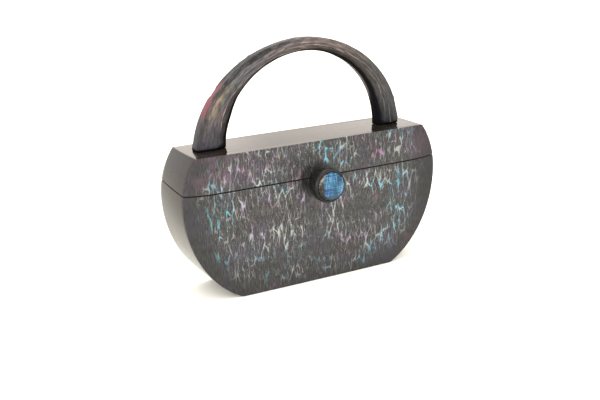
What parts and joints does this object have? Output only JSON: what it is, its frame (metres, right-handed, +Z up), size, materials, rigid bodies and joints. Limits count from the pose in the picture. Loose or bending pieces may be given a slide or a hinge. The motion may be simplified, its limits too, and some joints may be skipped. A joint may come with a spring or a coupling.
{
  "type": "wooden handbag",
  "caption": "Hard wooden handbag: a shallow case with bowed ends, a hinged lid under a carved arch handle, and a turned front knob set with a faceted blue stone.",
  "frame": {"origin": "the middle of the flat underside, on the surface it stands on", "axes": "+Z up; the front with the knob faces -Y; +X to the right of someone facing the front"},
  "size_m": [0.24, 0.0805, 0.2044],
  "materials": {
    "case_black": "black-brown, satin gloss lacquer",
    "crackle_panel": "dark stain under a broken network of pearly turquoise, lavender and pink paint",
    "carved_wood": "dark stain, worn pink and olive on the carved ridges, semi-gloss",
    "knob_black": "black, semi-gloss",
    "blue_stone": "polished facets with a banded blue sheen",
    "hinge_brass": "plain, aged satin"
  },
  "bodies": {
    "tub": {"tub_core": "case_black", "tub_front": "crackle_panel", "tub_back": "crackle_panel", "knob": "knob_black", "knob_stone": "blue_stone", "hinge_left_tub_leaf": "hinge_brass", "hinge_right_tub_leaf": "hinge_brass"},
    "lid": {"lid_core": "case_black", "lid_front": "crackle_panel", "lid_back": "crackle_panel", "handle": "carved_wood", "hinge_left_lid_leaf": "hinge_brass", "hinge_right_lid_leaf": "hinge_brass"}
  },
  "joints": [
    {"name": "lid_hinge", "type": "hinge", "parent": "tub", "child": "lid", "pos_m": [0, 0.0283, 0.09483], "axis": [-1, 0, 0], "range_deg": [0, 105]}
  ]
}
